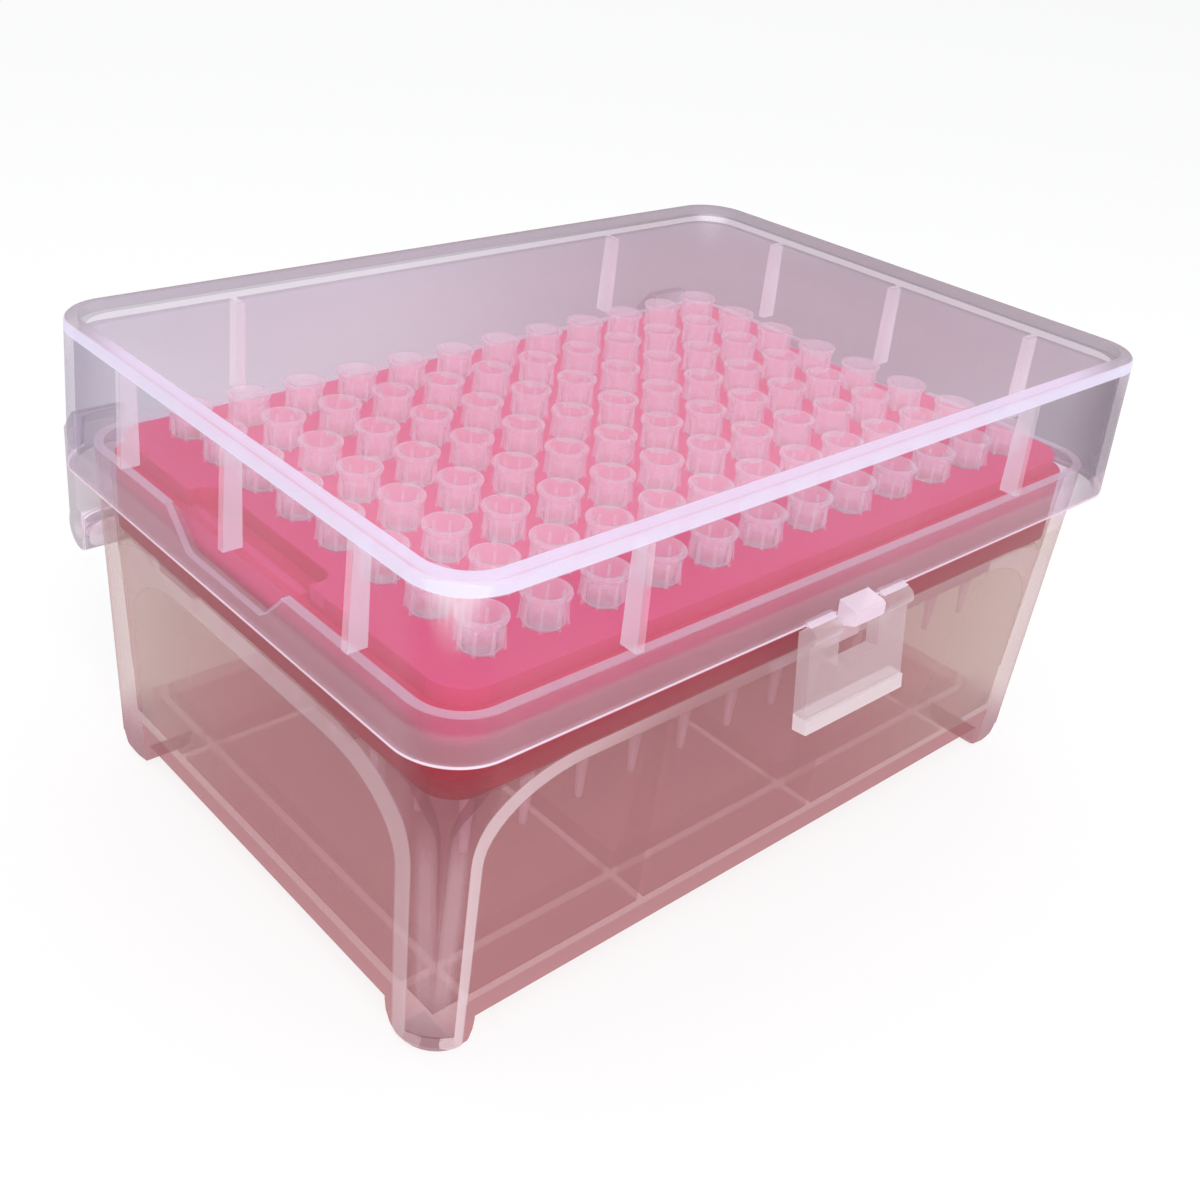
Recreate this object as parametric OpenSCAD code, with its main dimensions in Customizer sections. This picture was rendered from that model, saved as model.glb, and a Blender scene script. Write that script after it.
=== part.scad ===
// Hinged box of ninety-six pipette tips: a footed base, a rack plate that drops into it,
// twelve columns of eight tips, a skirted lid on two stub pins and a snap flap at the front.
// X runs along the box, Y from the flap to the hinge, and Z up from the table.

/* [Base] */
// Length of the base across its rim
base_length = 122.8; // [118:0.2:160]
// Width of the base across its rim
base_width = 82.8; // [80:0.2:110]
// Height of the base rim above the table
base_height = 50.9; // [46:0.1:70]
// Thickness of the base walls
base_wall = 1.8; // [1.4:0.1:2.4]
// Thickness of the base floor
floor_thickness = 1.8; // [1.2:0.1:3]
// Height of the feet under the floor
foot_height = 4.5; // [4:0.1:6]
// Radius of the four upright corners
corner_radius = 7; // [5:0.5:10]
// Slope of the base walls, in degrees
base_draft = 1.7; // [0.5:0.1:3]

/* [Wall panels] */
// Depth of the four sunk panels
panel_depth = 1.6; // [1:0.1:2.2]
// Width of the slanted step around a long panel
long_panel_step = 3.9; // [2:0.1:5]
// Width of the slanted step around a short panel
short_panel_step = 6; // [2:0.1:7]
// Distance from the end of the base to a long panel
long_panel_margin = 4.5; // [4:0.1:10]
// Distance from the rim down to a long panel
long_panel_drop = 9.7; // [9:0.1:16]
// Distance from the side of the base to a short panel
short_panel_margin = 4.4; // [3:0.1:8]
// Distance from the rim down to a short panel
short_panel_drop = 9.7; // [9:0.1:18]

/* [Rack] */
// Distance between neighbouring tips
tip_pitch = 9; // [9:0.5:10]
// Number of tips along the box
columns = 12; // [4:1:12]
// Number of tips across the box
rows = 8; // [2:1:8]
// Height of the rack's platform above the base rim
platform_rise = 0.9; // [0:0.1:2]
// Thickness of the platform
platform_thickness = 1.5; // [1:0.1:2.5]
// Height of the platform above the rack's shoulder
platform_step = 2.5; // [1.5:0.1:4]
// Thickness of the rack's skirt
skirt_wall = 1.2; // [0.8:0.1:2]
// Radius of the holes that the tips hang in
hole_radius = 2.35; // [2.3:0.05:2.5]
// Gap between the rack and the base walls
rack_clearance = 0.4; // [0.2:0.05:0.6]
// Width of the finger grip at each end of the rack
grip_width = 24; // [14:0.5:30]

/* [Tips] */
// Length of a tip
tip_length = 32.5; // [26:0.5:40]
// Length of the collar that stands on the rack
collar_length = 4.2; // [3:0.1:6]
// Radius of the ring around the mouth of a tip
ring_radius = 3.05; // [2.8:0.05:3.3]
// Radius of the collar
collar_radius = 2.6; // [2.55:0.05:2.7]
// Radius of the mouth of a tip
mouth_radius = 2.35; // [2:0.05:2.35]
// Radius of the point of a tip
point_radius = 0.42; // [0.4:0.01:0.6]

/* [Lid] */
// Height of the lid
lid_height = 21.2; // [18:0.2:30]
// Length of the lid's skirt that hangs below the base rim
lid_overhang = 3.6; // [3:0.1:5]
// Thickness of the lid's walls
lid_wall = 1.2; // [0.8:0.1:1.5]
// Thickness of the lid's top plate
plate_thickness = 1.4; // [1:0.1:2]
// Gap between the lid's skirt and the base
lid_gap = 1.7; // [1.5:0.1:2.5]
// Height of the stacking rim above the top plate
stack_rim_height = 1.5; // [0.8:0.1:2.5]
// Width of the stacking rim
stack_rim_width = 1.8; // [1.4:0.1:3]
// Depth of the ribs inside the lid
rib_depth = 2.9; // [2:0.1:3.5]
// Thickness of the ribs inside the lid
rib_thickness = 1.15; // [0.8:0.05:2]

/* [Flap] */
// Width of the flap
flap_width = 19.4; // [16:0.2:30]
// Length of the flap below its hinge line
flap_length = 13.1; // [10:0.1:16]
// Thickness of the flap
flap_thickness = 1.8; // [1.4:0.1:2.4]
// Angle at which the open flap hangs away from the wall, in degrees
flap_angle = 7.6; // [4:0.1:10]
// Width of the flap's window
window_width = 8; // [6:0.2:10]
// Length of the flap's window below the hinge line
window_length = 5.4; // [4.5:0.1:6]
// Radius of the flap's two hinge knuckles
knuckle_radius = 1.2; // [0.9:0.05:1.4]
// Width of the lifting ledge between the knuckles
ledge_width = 5.6; // [4:0.1:5.6]
// Distance that the lifting ledge stands out from the lid
ledge_reach = 3.1; // [2.6:0.1:4]

/* [Hinge] */
// Radius of the stub pins
pin_radius = 1.5; // [1.2:0.05:1.6]
// Gap between a stub pin and its bore
pin_clearance = 0.06; // [0.02:0.01:0.1]
// Radius of the hinge arms around the pins
barrel_radius = 3.2; // [2.8:0.1:3.4]
// Height of the pins above the table
pin_height = 33.4; // [28:0.1:36]
// Distance of the pins behind the base rim
pin_offset = 4.5; // [4.4:0.1:5]
// Width of each hinge arm
arm_width = 7.6; // [5:0.1:9]
// Distance from the end of the base to a hinge arm
arm_margin = 1.5; // [1:0.1:4]

/* [Hidden] */
function tip_node(i) = str("tips_column_", i < 10 ? "0" : "", i);

smooth = 64;
slope = tan(base_draft);
overlap = 0.5;

half_x = base_length / 2;
half_y = base_width / 2;
function base_half_x(z) = half_x - slope * (base_height - z);
function base_half_y(z) = half_y - slope * (base_height - z);

// Levels of the rack and the tips
platform_top = base_height + platform_rise;
platform_underside = platform_top - platform_thickness;
shoulder_top = platform_top - platform_step;
tip_top = platform_top + collar_length;
skirt_bottom = platform_top - 13.3;
tab_drop = 3.3;

// Plan of the rack
shoulder_x = base_half_x(skirt_bottom) - base_wall - rack_clearance;
shoulder_y = base_half_y(skirt_bottom) - base_wall - rack_clearance;
shoulder_radius = corner_radius - base_wall - rack_clearance;
platform_inset = 1;
platform_x = shoulder_x - platform_inset;
platform_y = shoulder_y - platform_inset;

// Finger notch in each end wall, with the rack's grip behind it
notch_depth = 5;
notch_y = 2.8;
notch_top_half = grip_width / 2 + 1.7;
notch_bottom_half = notch_top_half - 5;

// Inside of the rim, which flares to a thinner edge that leads the rack in
rim_edge = 1.1;
lead_in = 2.4;

// Lid
lid_bottom = base_height - lid_overhang;
lid_top = lid_bottom + lid_height;
lid_draft = 0.7;
lid_x = half_x + lid_gap + lid_wall;
lid_y = half_y + lid_gap + lid_wall;
lid_radius = corner_radius + 1;
lid_edge_round = 0.8;
plate_top = lid_top - stack_rim_height;
plate_underside = plate_top - plate_thickness;
rib_clearance = 1.4;
rib_z = base_height + rib_clearance;

// Flap, which turns on a film just below the lid's front edge
film_gap = 0.15;
flap_axis_z = lid_bottom - 1;
flap_axis_y = -(lid_y + sqrt(pow(knuckle_radius + film_gap, 2) - 1));
ledge_y = lid_y + ledge_reach;
ledge_x = -0.9;
hook_width = window_width - 2;
hook_gap = 0.4;
lip_length = 2;
lip_thickness = 0.35;
knuckle_length = (flap_width - window_width) / 2 - 0.5;

// Hinge
pin_y = half_y + pin_offset;
hinge_back = pin_y + barrel_radius;
arm_outer = half_x - arm_margin;
arm_inner = arm_outer - arm_width;
ear_gap = 0.3;
ear_thickness = 3.8;
pin_end_gap = 0.8;

// The box's middle, from the ledge in front to the hinge at the back, is the origin
y_middle = (hinge_back - ledge_y) / 2;
module placed() translate([0, -y_middle, 0]) children();

// Rounded rectangle about the origin
module round_rect(x, y, r) {
    square([2 * (x - r), 2 * y], center = true);
    square([2 * x, 2 * (y - r)], center = true);
    for (sx = [-1, 1], sy = [-1, 1])
        translate([sx * (x - r), sy * (y - r)]) circle(r, $fn = smooth);
}

// Corner points of a rounded rectangle of half sizes x and y
function round_points(x, y, r) = [
    for (q = [0:3], i = [0:smooth / 4]) let (a = 90 * q + i * 360 / smooth) [
        (q == 0 || q == 3 ? x - r : r - x) + r * cos(a),
        (q < 2 ? y - r : r - y) + r * sin(a)
    ]
];

// Solid through a stack of rounded rectangles, each [x, y, r, z], from the lowest up
module stacked(levels) {
    ring = smooth + 4;
    last = len(levels) - 1;
    polyhedron(
        points = [
            for (level = levels, p = round_points(level[0], level[1], level[2]))
                [p[0], p[1], level[3]]
        ],
        faces = concat(
            [[for (i = [0:ring - 1]) i]],
            [
                for (k = [0:last - 1], i = [0:ring - 1]) let (j = (i + 1) % ring)
                    [k * ring + i, (k + 1) * ring + i, (k + 1) * ring + j, k * ring + j]
            ],
            [[for (i = [ring - 1:-1:0]) last * ring + i]]
        )
    );
}

// The outer form of the base between two levels
function base_level(z, wall) = [base_half_x(z) - wall, base_half_y(z) - wall, corner_radius - wall, z];
module base_form(z0, z1)
    stacked([for (z = [z0, z1]) base_level(z, 0)]);

// The room inside the base
module base_inside()
    stacked([
        base_level(floor_top, base_wall),
        base_level(base_height - lead_in, base_wall),
        base_level(base_height + overlap, rim_edge)
    ]);

// Arch with elliptical shoulders, its foot just under the X axis
function arch(half, top, r) = concat(
    [[-half, -overlap]],
    [for (a = [180:-7.5:90]) [-half + r[0] * (1 + cos(a)), top - r[1] * (1 - sin(a))]],
    [for (a = [90:-7.5:0]) [half - r[0] * (1 - cos(a)), top - r[1] * (1 - sin(a))]],
    [[half, -overlap]]
);

// Panels: half width and top, the radii of the arch's shoulders, and the width of the step
long_panel = [half_x - long_panel_margin, base_height - long_panel_drop, [14, 9], long_panel_step];
short_panel = [half_y - short_panel_margin, base_height - short_panel_drop, [14, 9.5], short_panel_step];

// Wedge with slanted edges that sinks a panel into the wall facing -Y, whose foot is at y
module panel_cut(panel, y) {
    step = panel[3];
    grow = step * (1 + overlap / panel_depth);
    floor_half = panel[0] - step;
    floor_top = panel[1] - step;
    translate([0, -y, 0])
        rotate([90 + base_draft, 0, 0])
            translate([0, 0, -panel_depth])
                linear_extrude(
                    height = panel_depth + overlap,
                    scale = [1 + grow / floor_half, 1 + grow / floor_top],
                    slices = 1
                )
                    polygon(arch(floor_half, floor_top, panel[2]));
}

// The same panel's back, a plain arch that stands into the base by the panel's depth
module panel_back(panel, y)
    intersection() {
        translate([0, -y, 0])
            rotate([90 + base_draft, 0, 0])
                translate([0, 0, -panel_depth - base_wall])
                    linear_extrude(panel_depth + base_wall)
                        polygon(arch(panel[0], panel[1], panel[2]));
        translate([-panel[0], -half_y - half_x, 0])
            cube([2 * panel[0], half_x + half_y, skirt_bottom]);
    }

module panel_cuts()
    for (turn = [0, 180]) rotate(turn) {
        panel_cut(long_panel, base_half_y(0));
        rotate(90) panel_cut(short_panel, base_half_x(0));
    }

module panel_backs()
    for (turn = [0, 180]) rotate(turn) {
        panel_back(long_panel, base_half_y(0));
        rotate(90) panel_back(short_panel, base_half_x(0));
    }

// Feet: the four corner columns run on below the floor and round off to a small flat
foot_round = 4;
foot_inset = 0.15;
foot_focus = 1.5;
slice = 0.02;
foot_back_x = long_panel_margin + long_panel_step - corner_radius;
foot_back_y = short_panel_margin + short_panel_step - corner_radius;
module foot_outline()
    intersection() {
        union() {
            circle(corner_radius - foot_inset, $fn = 32);
            translate([-foot_back_x, -foot_back_y])
                square([foot_back_x, corner_radius + foot_back_y - foot_inset]);
            translate([-foot_back_x, -foot_back_y])
                square([corner_radius + foot_back_x - foot_inset, foot_back_y]);
        }
        translate([-foot_back_x, -foot_back_y]) square(2 * corner_radius);
    }

module foot()
    hull() {
        for (a = [0:22.5:90])
            translate([foot_focus, foot_focus, foot_round * (1 - cos(a))])
                linear_extrude(slice)
                    scale(1 - foot_round * (1 - sin(a)) / (corner_radius - foot_focus))
                        translate([-foot_focus, -foot_focus]) foot_outline();
        translate([0, 0, foot_height + floor_thickness / 2])
            linear_extrude(slice) foot_outline();
    }

module feet()
    for (sx = [0, 1], sy = [0, 1])
        mirror([sx, 0, 0]) mirror([0, sy, 0])
            translate([
                base_half_x(foot_height) - corner_radius,
                base_half_y(foot_height) - corner_radius,
                0
            ])
                foot();

// Ribs on the floor, and gussets that run up the long walls from the ends of two of them
floor_top = foot_height + floor_thickness;
floor_ribs_x = [-52, -23, 11, 44];
floor_ribs_y = [-31, 22.5];
gussets_x = [-23, 11];
floor_rib_height = 3;
floor_rib_thickness = 1.2;
gusset_top = skirt_bottom - tab_drop - 0.3;
module floor_ribs() {
    for (x = floor_ribs_x)
        translate([x - floor_rib_thickness / 2, -half_y + overlap, floor_top - overlap])
            cube([floor_rib_thickness, base_width - 2 * overlap, floor_rib_height + overlap]);
    for (y = floor_ribs_y)
        translate([-half_x + overlap, y - floor_rib_thickness / 2, floor_top - overlap])
            cube([base_length - 2 * overlap, floor_rib_thickness, floor_rib_height + overlap]);
}
module gussets() {
    back = panel_depth + base_wall;
    for (x = gussets_x, turn = [0, 180]) rotate(turn)
        translate([x * cos(turn) + floor_rib_thickness / 2, 0, 0])
            rotate([90, 0, -90])
                linear_extrude(floor_rib_thickness)
                    polygon([
                        [base_half_y(0) - back + 0.4, floor_top - overlap],
                        [base_half_y(0) - back - 5, floor_top - overlap],
                        [base_half_y(gusset_top) - back - 2, gusset_top],
                        [base_half_y(gusset_top) - back + 0.4, gusset_top]
                    ]);
}

// Sloped notch in each end of the rim, its corners rounded
notch_rounding = 1.6;
module notch(x0, x1)
    translate([x0, notch_y, 0])
        rotate([90, 0, 90])
            linear_extrude(x1 - x0)
                offset(notch_rounding, $fn = smooth) offset(-notch_rounding)
                    polygon([
                        [-notch_bottom_half, base_height - notch_depth],
                        [notch_bottom_half, base_height - notch_depth],
                        [notch_top_half, base_height],
                        [notch_top_half, base_height + 2 * notch_rounding],
                        [-notch_top_half, base_height + 2 * notch_rounding],
                        [-notch_top_half, base_height]
                    ]);

// Catch on the front wall that the flap's window snaps over
function flap_back_y(z) = flap_axis_y + (flap_thickness - plate_front) * cos(flap_angle)
    - (flap_axis_z - z) * tan(flap_angle);
plate_front = 0.3;
hook_top = flap_axis_z - 2;
hook_nose = 3.2;
hook_root = -base_half_y(hook_top) + panel_depth;
module hook()
    translate([-hook_width / 2, 0, 0])
        rotate([90, 0, 90])
            linear_extrude(hook_width)
                polygon([
                    [hook_root, hook_top],
                    [-base_half_y(hook_top), hook_top],
                    [flap_back_y(flap_axis_z - hook_nose) + hook_gap, flap_axis_z - hook_nose],
                    [flap_back_y(flap_axis_z - hook_nose) + hook_gap, flap_axis_z - hook_nose - 1.2],
                    [-base_half_y(hook_top) + panel_depth, flap_axis_z - hook_nose - 2.6]
                ]);

// Ear beside each hinge arm, with the stub pin that the arm turns on
module hinge_ears()
    for (side = [-1, 1]) {
        ear_outer = arm_inner - ear_gap;
        root_y = base_half_y(pin_height) - panel_depth - base_wall / 2;
        translate([side > 0 ? ear_outer - ear_thickness : -ear_outer, 0, 0])
            rotate([90, 0, 90])
                linear_extrude(ear_thickness) {
                    translate([pin_y, pin_height]) circle(barrel_radius - 0.2, $fn = smooth);
                    polygon([
                        [root_y, pin_height + 4.6],
                        [pin_y, pin_height + barrel_radius - 0.2],
                        [pin_y, pin_height - barrel_radius + 0.2],
                        [root_y, pin_height - 5.9]
                    ]);
                }
        translate([side > 0 ? ear_outer - overlap : -arm_outer + pin_end_gap, pin_y, pin_height])
            rotate([0, 90, 0])
                cylinder(
                    h = arm_outer - pin_end_gap - ear_outer + overlap,
                    r = pin_radius,
                    $fn = smooth
                );
    }

module base_box()
    color("rosybrown", 0.6) placed()
        difference() {
            union() {
                difference() {
                    union() {
                        base_form(foot_height, base_height);
                        feet();
                    }
                    panel_cuts();
                }
                hinge_ears();
                hook();
            }
            difference() {
                base_inside();
                panel_backs();
                floor_ribs();
                gussets();
            }
            notch(-half_x - overlap, half_x + overlap);
        }

// The rack: an inverted tray with a hole for every tip
module at_tips(column)
    for (row = [1:rows])
        translate([
            (column - (columns + 1) / 2) * tip_pitch,
            (row - (rows + 1) / 2) * tip_pitch,
            0
        ])
            children();

module rounded_block(x, y, r, z0, z1)
    translate([0, 0, z0]) linear_extrude(z1 - z0) round_rect(x, y, r);

long_tabs = [[-39, -5.5], [22.5, 44.5]];
short_tabs = [[-26.5, -17.5], [12, 19.7]];
module tab(span, face_y) {
    gap = 0.3;
    boss = panel_depth + base_wall + gap;
    depth = 1.2;
    translate([span[0], -(face_y - boss), skirt_bottom - tab_drop])
        cube([span[1] - span[0], depth, tab_drop + 3]);
    translate([span[0], -(face_y - base_wall - rack_clearance - skirt_wall / 2), skirt_bottom])
        cube([span[1] - span[0], boss - base_wall - rack_clearance - skirt_wall / 2 + depth, 3]);
}

// Finger grip at each end, in front of a valley that is cut into the platform
grip_thickness = 2.4;
grip_top = base_height - 0.7;
valley_x = max(
    shoulder_x - grip_thickness - 2,
    (columns - 1) / 2 * tip_pitch + hole_radius + skirt_wall + 0.4
);
valley_half = grip_width / 2 + 2;
module both_ends()
    for (side = [0, 1]) mirror([side, 0, 0]) translate([0, notch_y, 0]) children();

module valley()
    translate([half_x, 0, shoulder_top])
        linear_extrude(platform_top) round_rect(half_x - valley_x, valley_half, 2);

module valley_walls() {
    reach = valley_half + skirt_wall;
    translate([valley_x - skirt_wall, -reach, shoulder_top - platform_thickness])
        cube([shoulder_x - skirt_wall / 2 - valley_x + skirt_wall, 2 * reach, platform_thickness]);
    translate([valley_x - skirt_wall, -reach, shoulder_top - overlap])
        cube([
            platform_x - skirt_wall / 2 - valley_x + skirt_wall,
            2 * reach,
            platform_underside - shoulder_top + 2 * overlap
        ]);
}

module finger_grip() {
    crown = grip_thickness / 2;
    slant = 1.5;
    intersection() {
        translate([0, 0, shoulder_top - overlap])
            rotate([90, 0, 90])
                linear_extrude(half_x)
                    polygon([
                        [-grip_width / 2 - slant, 0],
                        [grip_width / 2 + slant, 0],
                        [grip_width / 2, platform_top - shoulder_top],
                        [-grip_width / 2, platform_top - shoulder_top]
                    ]);
        union() {
            translate([shoulder_x - grip_thickness, -valley_half, 0])
                cube([grip_thickness, 2 * valley_half, grip_top - crown]);
            translate([shoulder_x - crown, -valley_half, grip_top - crown])
                rotate([-90, 0, 0]) cylinder(h = 2 * valley_half, r = crown, $fn = smooth);
        }
    }
}

module rack_plate()
    color("palevioletred") placed() {
        difference() {
            union() {
                difference() {
                    union() {
                        rounded_block(shoulder_x, shoulder_y, shoulder_radius,
                            skirt_bottom, shoulder_top);
                        rounded_block(platform_x, platform_y, shoulder_radius,
                            shoulder_top - overlap, platform_top);
                    }
                    rounded_block(platform_x - skirt_wall, platform_y - skirt_wall,
                        shoulder_radius - skirt_wall, skirt_bottom - overlap, platform_underside);
                    rounded_block(shoulder_x - skirt_wall, shoulder_y - skirt_wall,
                        shoulder_radius - skirt_wall, skirt_bottom - overlap,
                        shoulder_top - platform_thickness);
                }
                for (turn = [0, 180]) rotate(turn) {
                    for (span = long_tabs) tab(span, base_half_y(skirt_bottom));
                    rotate(90) for (span = short_tabs) tab(span, base_half_x(skirt_bottom));
                }
                both_ends() valley_walls();
            }
            both_ends() valley();
            for (column = [1:columns])
                at_tips(column)
                    translate([0, 0, platform_underside - overlap])
                        cylinder(h = platform_thickness + 2 * overlap, r = hole_radius, $fn = smooth);
        }
        both_ends() finger_grip();
    }

// One tip: a ring, a collar that stands on the rack, and a long hollow point
ring_height = 0.9;
ring_taper = 0.4;
neck_radius = 2.1;
bore_shoulder = 8;
bore_radius = 1.6;
point_bore = 0.2;
module tip()
    translate([0, 0, tip_top])
        rotate_extrude($fn = smooth)
            polygon([
                [mouth_radius, 0],
                [ring_radius, 0],
                [ring_radius, -ring_height],
                [collar_radius, -ring_height - ring_taper],
                [collar_radius, -collar_length],
                [neck_radius, -collar_length],
                [point_radius, -tip_length],
                [point_bore, -tip_length],
                [bore_radius, -bore_shoulder]
            ]);

module tips_column(column)
    color("mistyrose", 0.8) placed() at_tips(column) tip();

// The lid: a drafted cover with a stacking rim, ribs inside, a ledge and two hinge arms
function lid_inset(z) = lid_draft * (z - lid_bottom) / lid_height;
function lid_level(z, inset) = [lid_x - inset, lid_y - inset, lid_radius - inset, z];
module lid_inside(wall, top)
    stacked([for (z = [lid_bottom - overlap, top]) lid_level(z, lid_inset(z) + wall)]);

module lid_shell() {
    round_start = lid_top - lid_edge_round;
    difference() {
        stacked(concat(
            [lid_level(lid_bottom, 0)],
            [
                for (a = [0:30:90])
                    lid_level(
                        round_start + lid_edge_round * sin(a),
                        lid_inset(round_start) + lid_edge_round * (1 - cos(a))
                    )
            ]
        ));
        rounded_block(
            lid_x - lid_draft - stack_rim_width,
            lid_y - lid_draft - stack_rim_width,
            lid_radius - lid_draft - stack_rim_width,
            plate_top, lid_top + overlap
        );
        lid_inside(lid_wall, plate_underside);
    }
}

long_ribs = [-36.5, 36.5];
short_ribs = [-25.5, 0, 25.5];
module lid_ribs()
    intersection() {
        lid_inside(lid_wall / 2, plate_top);
        for (turn = [0, 180]) rotate(turn) {
            for (x = long_ribs)
                translate([x - rib_thickness / 2, lid_y - lid_wall - rib_depth, rib_z])
                    cube([rib_thickness, lid_wall + rib_depth, plate_top - rib_z]);
            for (y = short_ribs)
                translate([lid_x - lid_wall - rib_depth, y - rib_thickness / 2, rib_z])
                    cube([lid_wall + rib_depth, rib_thickness, plate_top - rib_z]);
        }
    }

// Ledge for a thumb, between the flap's knuckles
module lifting_ledge()
    translate([ledge_x - ledge_width / 2, 0, 0])
        rotate([90, 0, 90])
            linear_extrude(ledge_width)
                polygon([
                    [-lid_y + lid_wall, lid_bottom - 1.6],
                    [-lid_y + lid_wall, lid_bottom + 1],
                    [-lid_y + lid_wall / 2, lid_bottom + 2.2],
                    [-ledge_y + 0.4, lid_bottom + 1.6],
                    [-ledge_y, lid_bottom + 1.2],
                    [-ledge_y, lid_bottom - 0.3],
                    [-lid_y, lid_bottom - 1.6]
                ]);

module hinge_arms()
    for (side = [-1, 1])
        translate([side > 0 ? arm_inner : -arm_outer, 0, 0])
            rotate([90, 0, 90])
                linear_extrude(arm_width)
                    difference() {
                        union() {
                            translate([pin_y, pin_height]) circle(barrel_radius, $fn = smooth);
                            polygon([
                                [lid_y - lid_wall / 2, lid_bottom],
                                [lid_y - lid_wall / 2, lid_bottom + 4.4],
                                [lid_y + 1.6, lid_bottom + 4.4],
                                [hinge_back - 0.3, lid_bottom + 1],
                                [hinge_back - 0.3, pin_height],
                                [pin_y + 0.4, pin_height],
                                [pin_y + 0.4, lid_bottom - 1.6]
                            ]);
                        }
                        translate([pin_y, pin_height])
                            circle(pin_radius + pin_clearance, $fn = smooth);
                    }

module lid()
    color("lavender", 0.5) placed() {
        lid_shell();
        lid_ribs();
        lifting_ledge();
        hinge_arms();
    }

// The flap: two knuckles and a windowed plate with a thick lip
module latch_flap()
    color("pink", 0.7) placed()
        translate([0, flap_axis_y, flap_axis_z])
            rotate([-flap_angle, 0, 0]) {
                difference() {
                    translate([-flap_width / 2, -plate_front, -flap_length])
                        cube([flap_width, flap_thickness, flap_length + 0.3]);
                    translate([-window_width / 2, -flap_thickness, -window_length])
                        cube([window_width, 3 * flap_thickness, window_length + 1]);
                }
                translate([-flap_width / 2, -plate_front - lip_thickness, -flap_length])
                    cube([flap_width, lip_thickness + overlap, lip_length]);
                for (side = [-1, 1])
                    translate([side > 0 ? flap_width / 2 - knuckle_length : -flap_width / 2, 0, 0])
                        rotate([0, 90, 0])
                            cylinder(h = knuckle_length, r = knuckle_radius, $fn = smooth);
            }

base_box();
rack_plate();
lid();
latch_flap();
for (i = [1:columns])
    tips_column(i);
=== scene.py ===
# Hinged box of pipette tips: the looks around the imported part.
# Sections follow the order in which the box goes together, and the stage comes last.
# Sizes are in millimetres, with Y from the middle of the base, unless a comment says otherwise.
import math
from collections import namedtuple

import bmesh
import bpy
from mathutils import Matrix, Vector


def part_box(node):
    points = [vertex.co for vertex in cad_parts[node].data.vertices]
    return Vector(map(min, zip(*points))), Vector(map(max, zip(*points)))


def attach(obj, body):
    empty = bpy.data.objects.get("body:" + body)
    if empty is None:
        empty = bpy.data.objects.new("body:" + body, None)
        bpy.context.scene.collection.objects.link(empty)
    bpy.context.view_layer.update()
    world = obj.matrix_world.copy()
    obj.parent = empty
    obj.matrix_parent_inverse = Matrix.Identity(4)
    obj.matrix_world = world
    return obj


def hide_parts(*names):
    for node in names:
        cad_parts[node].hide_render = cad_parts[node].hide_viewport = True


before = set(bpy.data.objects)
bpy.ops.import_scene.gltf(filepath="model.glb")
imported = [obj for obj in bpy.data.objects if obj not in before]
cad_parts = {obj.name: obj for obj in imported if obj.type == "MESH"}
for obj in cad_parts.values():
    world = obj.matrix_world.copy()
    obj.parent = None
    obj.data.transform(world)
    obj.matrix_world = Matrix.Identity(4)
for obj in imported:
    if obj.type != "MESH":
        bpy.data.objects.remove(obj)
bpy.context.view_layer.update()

# ---- Base box -------------------------------------------------------------------------------
# One injection moulding in translucent polypropylene: four sunk panels, corner columns, feet and a
# ribbed floor. The rim and the slanted steps around the panels are frosted, as the mould leaves
# them. The wall scatters a little light inside, so it is a tinted window with a haze in it.
# Some of the tints below are painted light and shade, set by place on the box.
MM = 0.001
BASE_SHIFT = 0.85  # the base's middle lies this far in front of the origin
# A drafted form with round corners: its half sizes at one level, and their growth with height
Form = namedtuple("Form", "half_x half_y corner level slope")
BASE_FORM = Form(61.4, 41.4, 7.0, 50.9, 0.02968)
RIM_TOP = BASE_FORM.level
WALL = 1.8
PANEL_DEPTH = 1.6
PANEL_TOP = 41.4
LONG_PANEL_REACH = 57.0  # from the middle of a long wall to the end of its panel
SHORT_PANEL_REACH = 37.1
NOTCH_REACH = 19.5  # half the length of the finger notch in a short wall's rim
NOTCH_FLOOR = 45.5
COLUMN_FROM = (53.3, 31.3)  # the corner columns start this far out along X and Y
FLOOR_TOP = 6.3


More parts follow.
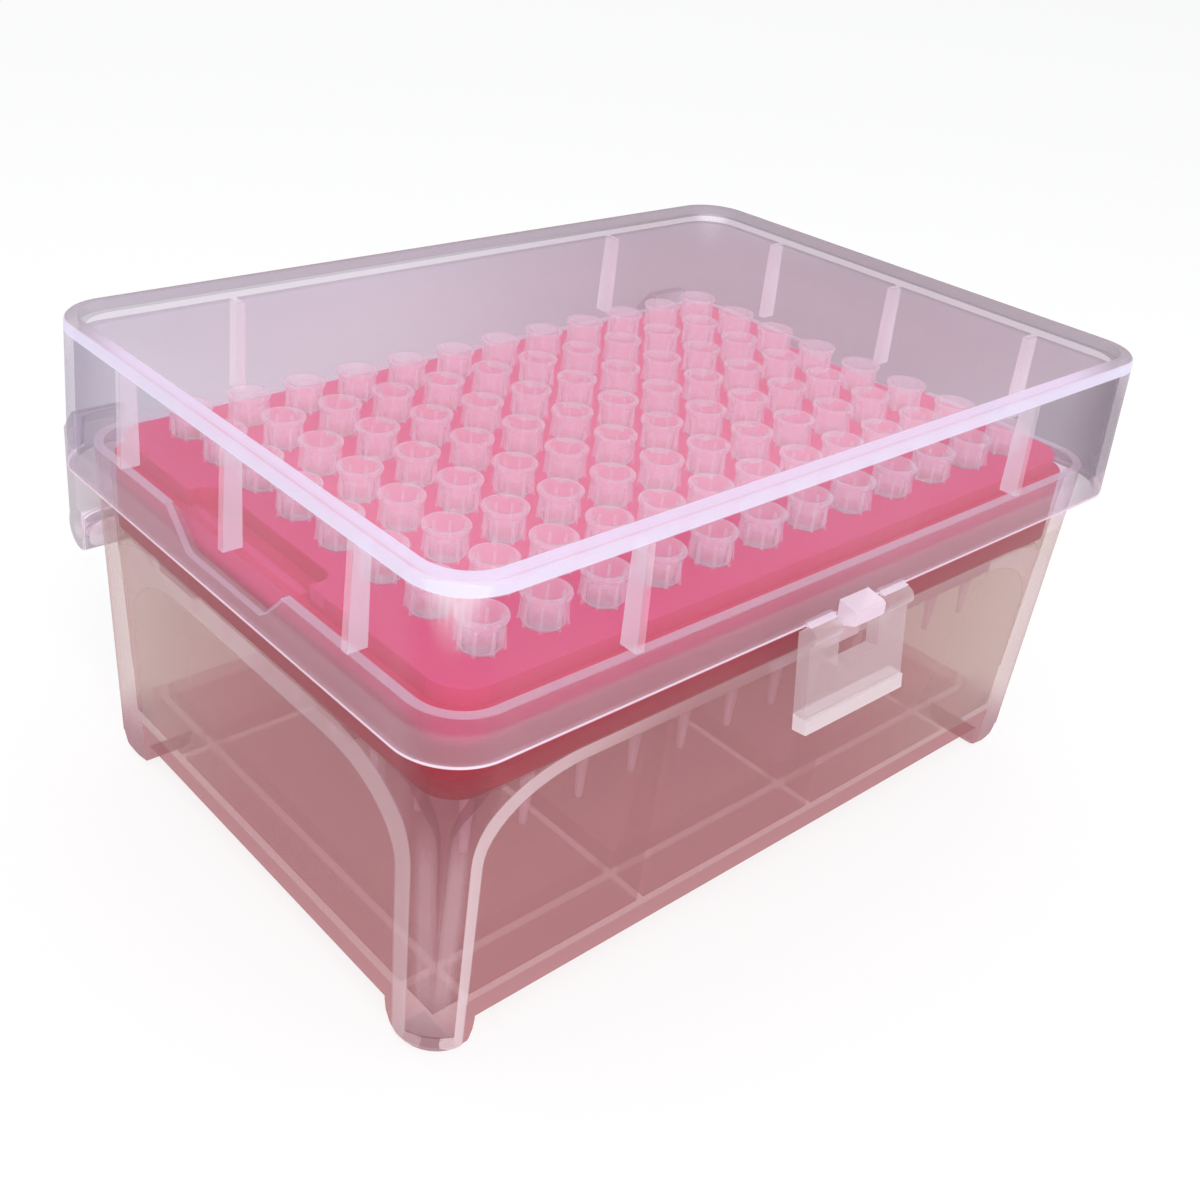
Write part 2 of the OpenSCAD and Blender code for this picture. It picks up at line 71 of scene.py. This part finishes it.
class Mix:
    """The recipe of one material: its nodes, with short ways to add and join them."""

    def __init__(self, owner):
        owner.use_nodes = True
        self.owner = owner
        self.nodes = owner.node_tree.nodes
        self.links = owner.node_tree.links
        self.nodes.clear()

    def add(self, kind, inputs=None, **settings):
        node = self.nodes.new("ShaderNode" + kind)
        for name, value in settings.items():
            setattr(node, name, value)
        for key, value in (inputs or {}).items():
            self.put(node.inputs[key], value)
        return node

    def put(self, socket, value):
        if isinstance(value, bpy.types.NodeSocket):
            self.links.new(value, socket)
        elif socket.type == "RGBA" and len(value) == 3:
            socket.default_value = (*value, 1)
        else:
            socket.default_value = value

    def math(self, operation, a, b=0.0, c=0.0, clamp=False):
        node = self.add("Math", {0: a, 1: b, 2: c}, operation=operation, use_clamp=clamp)
        return node.outputs[0]

    def times(self, mask, *others):
        """Where all the masks hold."""
        for other in others:
            mask = self.math("MULTIPLY", mask, other)
        return mask

    def most(self, mask, *others):
        """Where any of the masks holds."""
        for other in others:
            mask = self.math("MAXIMUM", mask, other)
        return mask

    def rest(self, mask):
        """Where the mask does not hold."""
        return self.math("SUBTRACT", 1.0, mask)

    def total(self, amount, *shares):
        """An amount and what each (mask, share) adds to it."""
        for mask, share in shares:
            amount = self.math("MULTIPLY_ADD", mask, share, amount)
        return amount

    def size(self, value):
        """A distance without its sign."""
        return self.math("ABSOLUTE", value)

    def ramp(self, value, low, high, out_low=0.0, out_high=1.0):
        node = self.add(
            "MapRange",
            {"Value": value, "From Min": low, "From Max": high, "To Min": out_low, "To Max": out_high},
            interpolation_type="SMOOTHSTEP",
        )
        return node.outputs["Result"]

    def above(self, value, level, soft):
        return self.ramp(value, level - soft / 2, level + soft / 2)

    def below(self, value, level, soft):
        return self.ramp(value, level + soft / 2, level - soft / 2)

    def within(self, value, low, high, soft=0.1):
        """1 between low and high, 0 outside, with a soft edge."""
        fall = self.ramp(value, high - soft / 2, high + soft / 2, 1.0, 0.0)
        return self.times(self.above(value, low, soft), fall)

    def blend(self, factor, a, b):
        return self.add("Mix", {0: factor, 6: a, 7: b}, data_type="RGBA").outputs[2]

    def coats(self, colour, *coats):
        """A colour with a further one laid over it for each (mask, coat)."""
        for mask, coat in coats:
            colour = self.blend(mask, colour, coat)
        return colour

    def place(self):
        """The shaded point in the box's own frame: a vector in metres, then X, Y and Z."""
        where = self.add("TexCoord").outputs["Object"]
        split = self.add("SeparateXYZ", {0: where})
        x, y, z = (self.math("MULTIPLY", split.outputs[i], 1 / MM) for i in range(3))
        return where, x, self.math("ADD", y, BASE_SHIFT), z

    def draft(self, z, form):
        """How much a form's half sizes have grown at this height."""
        return self.math("MULTIPLY", self.math("SUBTRACT", z, form.level), form.slope)

    def depth(self, x, y, z, form):
        """How far the point lies under the outer face of a form."""
        draft = self.draft(z, form)
        squares = []
        for value, half in ((x, form.half_x), (y, form.half_y)):
            flat = self.math("SUBTRACT", self.size(value), half - form.corner)
            over = self.math("MAXIMUM", self.math("SUBTRACT", flat, draft), 0.0)
            squares.append(self.math("POWER", over, 2.0))
        reach = self.math("SQRT", self.math("ADD", *squares))
        return self.math("SUBTRACT", form.corner, reach)

    def under(self, value, z, half, form):
        """How far the point lies under one flat face of a form, of the given half size."""
        return self.math("SUBTRACT", self.math("ADD", self.draft(z, form), half), self.size(value))

    def noise(self, where, scale, detail):
        node = self.add("TexNoise", {"Vector": where, "Scale": scale, "Detail": detail})
        return node.outputs["Fac"]

    def bump(self, height, strength):
        node = self.add("Bump", {"Height": height, "Strength": strength, "Distance": 0.1 * MM})
        return node.outputs[0]

    def shader(self, kind, **inputs):
        return self.add(kind, inputs).outputs[0]

    def layer(self, share, under, over):
        """One shader with another over it in the given share."""
        return self.add("MixShader", {0: share, 1: under, 2: over}).outputs[0]

    def finish(self, shader, output="OutputMaterial"):
        self.add(output, {"Surface": shader})
        return self.owner


def clear_plastic(mix, tint, haze_colour, haze, rim_haze, roughness, normal, onward,
                  edge_shine=0.5, power=5.0):
    """A moulded wall that shows what is behind it, through a haze that is denser at a grazing view.
    Light on its way to what is inside is mostly scattered onwards, so it only takes the onward tint."""
    facing = mix.add("LayerWeight", {"Blend": 0.5}).outputs["Facing"]
    amount = mix.math("MULTIPLY_ADD", mix.math("POWER", facing, 3.0), rim_haze, haze, clamp=True)
    window = mix.shader("BsdfTransparent", Color=tint)
    front = mix.shader("BsdfDiffuse", Color=haze_colour, Normal=normal)
    through = mix.shader("BsdfTranslucent", Color=haze_colour, Normal=normal)
    wall = mix.layer(amount, window, mix.layer(0.5, front, through))
    shine = mix.shader("BsdfGlossy", Roughness=roughness, Normal=normal)
    head_on_shine = 0.016 * edge_shine
    mirrored = mix.total(head_on_shine, (mix.math("POWER", facing, power), edge_shine))
    seen = mix.layer(mirrored, wall, shine)
    ray = mix.add("LightPath").outputs
    onwards = mix.most(ray["Is Shadow Ray"], ray["Is Diffuse Ray"])
    return mix.finish(mix.layer(onwards, seen, mix.shader("BsdfTransparent", Color=onward)))


def dress(node, look):
    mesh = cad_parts[node].data
    mesh.materials.clear()
    mesh.materials.append(look)


def soften(node, merge_flats=False):
    """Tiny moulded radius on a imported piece's sharp edges."""
    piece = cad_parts[node]
    weld = piece.modifiers.new("weld", "WELD")
    weld.merge_threshold = 0.001 * MM
    if merge_flats:
        flats = piece.modifiers.new("flats", "DECIMATE")
        flats.decimate_type = "DISSOLVE"
        flats.angle_limit = math.radians(0.3)
    bevel = piece.modifiers.new("edges", "BEVEL")
    bevel.width = 0.14 * MM
    bevel.segments = 2
    bevel.limit_method = "ANGLE"
    bevel.angle_limit = math.radians(35)
    bevel.loop_slide = False
    bevel.harden_normals = True


base_mix = Mix(bpy.data.materials.new("base_polypropylene"))
where, x, y, z = base_mix.place()
depth = base_mix.depth(x, y, z, BASE_FORM)
clouds = base_mix.noise(where, 34.0, 1.0)
grain = base_mix.noise(where, 500.0, 0.0)
# The slanted steps beside and over the panels, and the paler stretches of the columns next to them
steps, legs = [], []
for along, across, half, reach, strength in (
    (x, y, BASE_FORM.half_y, LONG_PANEL_REACH, 1.0),
    (y, x, BASE_FORM.half_x, SHORT_PANEL_REACH, 0.5),
):
    sunk = base_mix.under(across, z, half, BASE_FORM)
    aside = base_mix.size(along)
    beside = base_mix.ramp(aside, reach, reach - 0.1, 0.0, strength)
    steps.append(base_mix.times(base_mix.within(sunk, 0.1, PANEL_DEPTH - 0.08), beside))
    leg = base_mix.within(aside, reach - 0.6, reach + 1.2, 1.2)
    legs.append(base_mix.times(leg, base_mix.ramp(sunk, 3.6, 3.0, 0.0, 0.3 + 0.2 * strength)))
under_arch = base_mix.below(z, PANEL_TOP - 0.1, 0.2)
step = base_mix.times(base_mix.most(*steps), under_arch, base_mix.above(depth, 0.12, 0.08))
leg = base_mix.times(
    base_mix.most(*legs),
    base_mix.ramp(z, 39.0, 29.0),
    base_mix.ramp(z, 4.0, 14.0),
    base_mix.below(depth, 0.2, 0.2),
)
# Painted light: the pale steps and stretches fade towards the right and the back
painted_fade_right = base_mix.ramp(x, -44.0, -20.0, 1.0, 0.35)
painted_fade_back = base_mix.ramp(y, 5.0, 34.0, 1.0, 0.4)
step = base_mix.times(base_mix.most(step, leg), base_mix.times(painted_fade_right, painted_fade_back))
# The rim, with the bevelled edge of the finger notches
cut = base_mix.times(
    base_mix.within(base_mix.under(x, z, BASE_FORM.half_x, BASE_FORM), 0.12, 1.05),
    base_mix.below(base_mix.size(y), NOTCH_REACH, 1.0),
    base_mix.above(z, NOTCH_FLOOR, 0.2),
)
rim = base_mix.most(base_mix.above(z, RIM_TOP - 0.15, 0.2), cut)
upper = base_mix.above(z, PANEL_TOP, 0.4)
panel = base_mix.times(base_mix.within(depth, PANEL_DEPTH - 0.06, PANEL_DEPTH + 0.1), under_arch)
column = base_mix.times(
    base_mix.above(base_mix.size(x), COLUMN_FROM[0], 0.6),
    base_mix.above(base_mix.size(y), COLUMN_FROM[1], 0.6),
)
# Painted shade: the feet are tinted darker
foot_painted_shade = base_mix.times(column, base_mix.ramp(z, 11.0, 3.0))
low_wall = base_mix.times(base_mix.below(z, FLOOR_TOP + 1.3, 0.4), base_mix.below(depth, 2.8, 0.4))
floor_slab = base_mix.most(base_mix.below(z, FLOOR_TOP + 0.25, 0.7), low_wall)
# Painted shade and painted pink light: the floor slab gets a darker, rosier tint
slab_painted_rose_shade = base_mix.times(base_mix.rest(column), floor_slab)
inside = base_mix.times(
    base_mix.above(depth, PANEL_DEPTH + WALL + 0.1, 0.1),
    base_mix.above(z, FLOOR_TOP + 0.055, 0.09),
)
outside = base_mix.below(depth, -0.225, 0.15)
# Frosted rim, steps and outer parts, with the painted fade of the steps
frost_and_painted_highlight = base_mix.most(rim, step, outside)
# Painted light: towards the right and the back the wall turns from the painted pink of the rack's light to
# beige
painted_pink_fade = base_mix.most(base_mix.ramp(x, 5.0, 50.0), base_mix.ramp(y, 0.0, 32.0))
# Painted shade: the near columns are tinted darker, more so towards the top
near_column_painted_shade = base_mix.times(column, base_mix.rest(painted_pink_fade))
painted_column_shade = base_mix.blend(base_mix.ramp(z, 16.0, 40.0), (0.87, 0.79, 0.80), (0.80, 0.62, 0.66))
base_look = clear_plastic(
    base_mix,
    tint=base_mix.coats(
        base_mix.blend(painted_pink_fade, (0.89, 0.805, 0.81), (0.885, 0.84, 0.815)),
        (frost_and_painted_highlight, (0.95, 0.91, 0.92)),
        (near_column_painted_shade, painted_column_shade),
        (slab_painted_rose_shade, (0.79, 0.59, 0.61)),
        (foot_painted_shade, (0.62, 0.47, 0.50)),
        (upper, (0.96, 0.88, 0.93)),
        (inside, (0.97, 0.93, 0.93)),
    ),
    haze_colour=base_mix.coats(
        (0.74, 0.50, 0.54),
        (frost_and_painted_highlight, (1.0, 0.85, 0.89)),
        (rim, (0.90, 0.82, 0.95)),
        (panel, base_mix.blend(painted_pink_fade, (0.66, 0.35, 0.37), (0.72, 0.56, 0.52))),
        (slab_painted_rose_shade, (0.56, 0.27, 0.29)),
    ),
    haze=base_mix.total(
        0.07, (clouds, 0.06), (frost_and_painted_highlight, 0.34), (panel, 0.1), (slab_painted_rose_shade, 0.1), (upper, -0.06), (step, 0.14),
        (inside, -0.05),
    ),
    rim_haze=0.35,
    roughness=0.3,
    normal=base_mix.bump(grain, 0.012),
    onward=(0.86, 0.79, 0.79),
)
dress("base_box", base_look)
soften("base_box")

# ---- Rack plate -----------------------------------------------------------------------------
# Pink inverted tray, coloured through and slightly translucent, with a fine satin skin.
# It lifts out by the two rounded bars that stand in the rim's notches.
GRIP_REACH = 14.1  # half the length of a lifting bar
GRIP_TOP = 50.0
RACK_END = 56.4  # from here outwards along X lie the bars and the end skirts
RACK_SIDE = (49.2, 51.6)  # the upright side of the raised platform

rack_mix = Mix(bpy.data.materials.new("rack_polypropylene"))
where, x, y, z = rack_mix.place()
clouds = rack_mix.noise(where, 22.0, 4.0)
grain = rack_mix.noise(where, 1300.0, 3.0)
grip_top = rack_mix.times(
    rack_mix.above(rack_mix.size(x), RACK_END, 0.2),
    rack_mix.below(rack_mix.size(y), GRIP_REACH, 0.2),
    rack_mix.above(z, GRIP_TOP + 0.025, 0.15),
)
# Painted shade: the upright side of the platform and, lower down, the skirt are tinted a deeper red
platform_side_painted_shade = rack_mix.times(rack_mix.within(z, *RACK_SIDE, 0.15), rack_mix.rest(grip_top))
pink_with_painted_shade = rack_mix.coats(
    rack_mix.blend(clouds, (0.84, 0.055, 0.22), (0.92, 0.085, 0.27)),
    (platform_side_painted_shade, (0.82, 0.045, 0.17)),
    (rack_mix.ramp(z, 47.2, 44.6), (0.50, 0.016, 0.045)),
)
satin = rack_mix.bump(grain, 0.2)
skin = rack_mix.shader("BsdfDiffuse", Color=pink_with_painted_shade, Normal=satin)
glow = rack_mix.shader("BsdfTranslucent", Color=pink_with_painted_shade, Normal=satin)
shine = rack_mix.shader("BsdfGlossy", Roughness=0.35, Normal=satin)
facing = rack_mix.add("LayerWeight", {"Blend": 0.5}).outputs["Facing"]
sheen = rack_mix.total(0.015, (rack_mix.math("POWER", facing, 5.0), 0.25))
rack_look = rack_mix.finish(rack_mix.layer(sheen, rack_mix.layer(0.35, skin, glow), shine))
dress("rack_plate", rack_look)
soften("rack_plate")

# ---- Tips -----------------------------------------------------------------------------------
# Ninety-six clear mouldings, eight in each column. A tip has a flared ring around its mouth, a
# collar with eight fins that stand on the rack, a step in the bore, and a long thin point.
TIP_TOP = 56.0
PITCH = 9.0
COLUMNS = 12
ROWS = 8
TURNS = 48  # faces around a tip
FINS = 8
FIN_HALF = 0.17  # half a fin's thickness
FIN_EDGE = 0.06  # its outer edge is pointed by this much
FIN_LEVELS = [  # inner and outer radius, and height from the tip's mouth
    (2.55, 2.74, -1.0), (2.5, 2.82, -2.4), (2.5, 2.92, -3.7), (2.35, 3.02, -4.02), (2.3, 2.9, -4.2),
]
TIP_OUTLINE = [  # radius and height from the tip's mouth: down the outside, then up the bore
    (2.30, -0.12), (2.38, 0.0), (2.92, 0.0), (3.02, -0.08), (3.05, -0.25), (3.03, -0.42),
    (2.93, -0.62), (2.78, -0.85), (2.68, -1.15), (2.64, -1.6), (2.62, -2.6), (2.60, -3.75),
    (2.56, -3.88), (2.45, -3.95), (2.12, -3.95), (2.08, -4.3), (1.75, -10.2), (1.15, -21.5),
    (0.47, -32.3), (0.42, -32.5), (0.24, -32.5), (0.24, -31.9), (0.75, -21.5), (1.3, -10.2),
    (1.62, -6.4), (1.98, -1.95), (2.16, -1.75), (2.22, -0.9),
]


def revolve(shape, outline, turns):
    """Closed surface made by turning a closed outline of (radius, height) about Z."""
    rings = []
    for k in range(turns):
        angle = 2 * math.pi * k / turns
        rings.append(
            [shape.verts.new((r * math.cos(angle), r * math.sin(angle), h)) for r, h in outline]
        )
    count = len(outline)
    for k in range(turns):
        a, b = rings[k], rings[(k + 1) % turns]
        for i in range(count):
            j = (i + 1) % count
            face = shape.faces.new((a[i], a[j], b[j], b[i]))
            face.smooth = True


def join_rings(shape, rings):
    """Flat-sided bar through a row of rings, closed at both ends."""
    count = len(rings[0])
    for a, b in zip(rings, rings[1:]):
        for i in range(count):
            j = (i + 1) % count
            shape.faces.new((a[i], b[i], b[j], a[j]))
    shape.faces.new(rings[0])
    shape.faces.new(rings[-1][::-1])


def add_fin(shape, angle):
    """Thin upright fin on the collar, which ends in a nub that stands on the rack."""
    turn = Matrix.Rotation(angle, 3, "Z")
    rings = []
    for inner, outer, h in FIN_LEVELS:
        shoulder = outer - FIN_EDGE
        corners = [
            (inner, -FIN_HALF), (shoulder, -FIN_HALF), (outer, 0.0), (shoulder, FIN_HALF), (inner, FIN_HALF),
        ]
        rings.append([shape.verts.new(turn @ Vector((r, t, h))) for r, t in corners])
    join_rings(shape, rings)


def tip_mesh():
    shape = bmesh.new()
    revolve(shape, TIP_OUTLINE, TURNS)
    for k in range(FINS):
        add_fin(shape, 2 * math.pi * (k + 0.5) / FINS)
    bmesh.ops.recalc_face_normals(shape, faces=shape.faces)
    bmesh.ops.scale(shape, vec=(MM, MM, MM), verts=shape.verts)
    mesh = bpy.data.meshes.new("tip")
    shape.to_mesh(mesh)
    shape.free()
    return mesh


def add_piece(name, shape, look):
    """A finished shape as an object of its own."""
    mesh = bpy.data.meshes.new(name)
    shape.to_mesh(mesh)
    shape.free()
    mesh.materials.append(look)
    piece = bpy.data.objects.new(name, mesh)
    bpy.context.scene.collection.objects.link(piece)
    return piece


tip_mix = Mix(bpy.data.materials.new("tip_polypropylene"))
where, x, y, z = tip_mix.place()
grain = tip_mix.noise(where, 900.0, 0.0)
tip_look = clear_plastic(
    tip_mix,
    tint=(0.992, 0.97, 0.985),
    haze_colour=(1.0, 0.90, 1.0),
    haze=tip_mix.total(0.17, (grain, 0.06), (tip_mix.ramp(z, 48.0, 45.0), 0.1)),
    rim_haze=0.7,
    roughness=0.1,
    normal=tip_mix.bump(grain, 0.03),
    onward=(0.975, 0.95, 0.965),
    edge_shine=0.9,
    power=3.5,
)


def tips_column(number):
    """Eight tips in one mesh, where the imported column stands, each turned a little on its own."""
    name = "tips_column_%02d" % number
    low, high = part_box(name)
    centre_x = (low.x + high.x) / 2
    centre_y = (low.y + high.y) / 2
    shape = bmesh.new()
    one = tip_mesh()
    for row in range(ROWS):
        first = len(shape.verts)
        shape.from_mesh(one)
        shape.verts.ensure_lookup_table()
        spin = Matrix.Rotation(0.35 * math.sin(7.1 * number + 3.3 * row), 4, "Z")
        from_middle = (row - (ROWS - 1) / 2) * PITCH * MM
        shift = Matrix.Translation((centre_x, centre_y + from_middle, TIP_TOP * MM))
        bmesh.ops.transform(shape, matrix=shift @ spin, verts=shape.verts[first:])
    bpy.data.meshes.remove(one)
    piece = add_piece(name + "_finned", shape, tip_look)
    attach(piece, "base")
    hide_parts(name)


for number in range(1, COLUMNS + 1):
    tips_column(number)

# ---- Lid ------------------------------------------------------------------------------------
# Clear cover with a stacking rim, hold-down ribs, a lifting ledge and two arms on the base's pins.
# The rim and the top plate's edge gather light, painted in as a pale lavender band: a painted highlight.
LID_FORM = Form(64.3, 44.3, 8.0, 47.3, -0.033)
SKIRT_TOP = 51.3
PLATE_UNDER = 65.5
PLATE_TOP = 67.0
BAND = (66.6, 68.2)  # heights of the pale band around the stacking rim
ARM_FROM = 44.9  # the arms lie behind this

lid_mix = Mix(bpy.data.materials.new("lid_polypropylene"))
where, x, y, z = lid_mix.place()
depth = lid_mix.depth(x, y, z, LID_FORM)
clouds = lid_mix.noise(where, 30.0, 2.0)
grain = lid_mix.noise(where, 500.0, 0.0)
skin = lid_mix.below(depth, 0.8, 0.2)
# Painted highlight: the pale band around the stacking rim
band_painted_highlight = lid_mix.times(lid_mix.within(z, *BAND, 0.2), skin)
rim = lid_mix.times(lid_mix.above(z, PLATE_TOP + 0.15, 0.1), lid_mix.rest(band_painted_highlight))
plate = lid_mix.times(lid_mix.above(z, PLATE_UNDER + 0.1, 0.2), lid_mix.above(depth, 2.5, 0.2))
skirt = lid_mix.times(skin, lid_mix.below(z, SKIRT_TOP, 1.0))
# Painted highlight: a bright line along the lid's lowest edge
lowest = lid_mix.below(z, LID_FORM.level + 0.36, 0.12)
painted_edge_highlight = lid_mix.times(lowest, lid_mix.within(depth, -0.1, 0.16, 0.05))
rib = lid_mix.times(lid_mix.above(depth, 1.3, 0.1), lid_mix.below(z, PLATE_UNDER, 0.1))
outside = lid_mix.below(depth, -0.225, 0.15)
arm = lid_mix.above(y, ARM_FROM, 0.6)
# Pale ribs and outer parts, with the painted highlight along the lowest edge
frost_and_painted_highlight = lid_mix.most(rib, outside, painted_edge_highlight)
# Painted shade: the right and the back walls have a deeper, greyer tint, and so has the rim there
far_painted_shade = lid_mix.most(lid_mix.ramp(x, 40.0, 62.0), lid_mix.ramp(y, 20.0, 42.0))
painted_shade_tint = lid_mix.blend(lid_mix.ramp(x, -20.0, 60.0), (0.76, 0.74, 0.785), (0.58, 0.53, 0.56))
lid_look = clear_plastic(
    lid_mix,
    tint=lid_mix.coats(
        lid_mix.blend(far_painted_shade, (0.93, 0.92, 0.945), painted_shade_tint),
        (plate, (0.985, 0.975, 0.985)),
        (frost_and_painted_highlight, (0.98, 0.97, 0.98)),
        (arm, (0.90, 0.88, 0.90)),
    ),
    haze_colour=lid_mix.coats(
        (0.78, 0.77, 0.85),
        (frost_and_painted_highlight, (0.98, 0.92, 0.99)),
        (lid_mix.most(skirt, plate), (0.97, 0.86, 0.98)),
        (band_painted_highlight, (0.82, 0.83, 1.0)),
        (rim, lid_mix.blend(far_painted_shade, (0.84, 0.78, 0.97), (0.46, 0.42, 0.44))),
        (arm, (0.66, 0.62, 0.66)),
    ),
    haze=lid_mix.total(
        0.01, (clouds, 0.09), (arm, 0.15), (skirt, 0.09), (plate, 0.04), (frost_and_painted_highlight, 0.3), (band_painted_highlight, 0.78),
        (painted_edge_highlight, 0.5), (outside, 0.35), (rim, 0.58),
    ),
    rim_haze=0.3,
    roughness=0.3,
    normal=lid_mix.bump(grain, 0.04),
    onward=(0.965, 0.955, 0.965),
    edge_shine=0.08,
)
dress("lid", lid_look)
soften("lid", merge_flats=True)

# ---- Film hinge -----------------------------------------------------------------------------
# Two thin strips that join the lid's front edge to the flap's knuckles. On the real box the
# film bends; here each strip stays with the lid and ends just over its knuckle.
FILM_SPANS = ((-9.6, -4.6), (4.6, 9.6))
FILM_SECTION = [  # Y and Z around a strip
    (-44.1, 48.15), (-44.42, 48.1), (-44.68, 47.86), (-45.0, 47.76), (-45.3, 47.74),
    (-45.3, 47.6), (-45.0, 47.6), (-44.72, 47.55), (-44.42, 47.4), (-44.1, 47.4),
]
shape = bmesh.new()
for span in FILM_SPANS:
    join_rings(
        shape,
        [[shape.verts.new((x * MM, (y - BASE_SHIFT) * MM, z * MM)) for y, z in FILM_SECTION] for x in span],
    )
bmesh.ops.recalc_face_normals(shape, faces=shape.faces)
film = add_piece("film_strips", shape, lid_look)
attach(film, "lid")

# ---- Snap flap ------------------------------------------------------------------------------
# Frosted flap on two knuckles, with a window for the catch and a thick lip along its foot.
# It is moulded open, so at rest it hangs a little away from the wall.
LIP_TOP = 35.4

flap_mix = Mix(bpy.data.materials.new("flap_polypropylene"))
where, x, y, z = flap_mix.place()
clouds = flap_mix.noise(where, 120.0, 3.0)
grain = flap_mix.noise(where, 1400.0, 2.0)
flap_look = clear_plastic(
    flap_mix,
    tint=(0.93, 0.90, 0.92),
    haze_colour=(0.98, 0.90, 0.93),
    haze=flap_mix.total(0.2, (clouds, 0.1), (flap_mix.below(z, LIP_TOP, 0.4), 0.55)),
    rim_haze=0.4,
    roughness=0.25,
    normal=flap_mix.bump(grain, 0.12),
    onward=(0.85, 0.83, 0.84),
)
dress("latch_flap", flap_look)
soften("latch_flap")

# ---- Stage ----------------------------------------------------------------------------------
# Pale floor that fades to white, one large soft lamp at the front left and an even sky.
# The camera stands near the front left corner, above the lid, with a slight roll. In metres.
FLOOR_REACH = 3.0
FLOOR_DROP = 0.0002  # keeps the floor off the feet's undersides
scene = bpy.context.scene
floor_mesh = bpy.data.meshes.new("floor")
corners = [(-1, -1), (1, -1), (1, 1), (-1, 1)]
floor_mesh.from_pydata([(i * FLOOR_REACH, j * FLOOR_REACH, 0) for i, j in corners], [], [(0, 1, 2, 3)])
floor = bpy.data.objects.new("floor", floor_mesh)
scene.collection.objects.link(floor)
floor.location.z = -FLOOR_DROP
floor_mix = Mix(bpy.data.materials.new("pale_floor"))
matte = floor_mix.shader("BsdfDiffuse", Color=(0.9, 0.9, 0.9))
white = floor_mix.shader("Emission", Color=(1, 1, 1), Strength=1.0)
lift = floor_mix.times(floor_mix.add("LightPath").outputs["Is Camera Ray"], 0.7)
floor_mesh.materials.append(floor_mix.finish(floor_mix.layer(lift, matte, white)))

scene.world = bpy.data.worlds.new("studio")
sky_mix = Mix(scene.world)
ray = sky_mix.add("LightPath").outputs
shown = sky_mix.most(ray["Is Camera Ray"], ray["Is Glossy Ray"], ray["Is Transmission Ray"])
sky = sky_mix.shader("Background", Color=(0.96, 0.97, 1.0), Strength=0.9)
backdrop = sky_mix.shader("Background", Color=(1, 1, 1), Strength=1.0)
sky_mix.finish(sky_mix.layer(shown, sky, backdrop), "OutputWorld")

LAMP_AT = Vector((-0.35, -0.55, 0.7))
LAMP_TARGET = Vector((0, 0, 0.04))
lamp_data = bpy.data.lights.new("key", "AREA")
lamp_data.shape = "DISK"
lamp_data.size = 0.5
lamp_data.energy = 5.0
lamp_data.color = (1.0, 0.98, 0.97)
lamp = bpy.data.objects.new("key", lamp_data)
scene.collection.objects.link(lamp)
lamp.location = LAMP_AT
lamp.rotation_mode = "QUATERNION"
lamp.rotation_quaternion = (LAMP_TARGET - LAMP_AT).to_track_quat("-Z", "Y")

CAMERA_TARGET = Vector((-0.029896, -0.018169, 0.056))
CAMERA_DISTANCE = 0.173135
azimuth, elevation, roll = math.radians(-42.994), math.radians(27.076), math.radians(5.481)
back = Vector(
    (math.sin(azimuth) * math.cos(elevation), -math.cos(azimuth) * math.cos(elevation), math.sin(elevation))
)
camera_data = bpy.data.cameras.new("camera")
camera = bpy.data.objects.new("camera", camera_data)
scene.collection.objects.link(camera)
camera.location = CAMERA_TARGET + back * CAMERA_DISTANCE
camera.rotation_mode = "QUATERNION"
camera.rotation_quaternion = (-back).to_track_quat("-Z", "Y") @ Matrix.Rotation(roll, 3, "Z").to_quaternion()
camera_data.sensor_width = 36
camera_data.lens = 43.149
camera_data.shift_x = 0.05333
camera_data.shift_y = -0.07175
camera_data.clip_start = 0.01
scene.camera = camera

scene.view_settings.view_transform = "Standard"
scene.cycles.transparent_max_bounces = 48  # a view passes through many clear walls
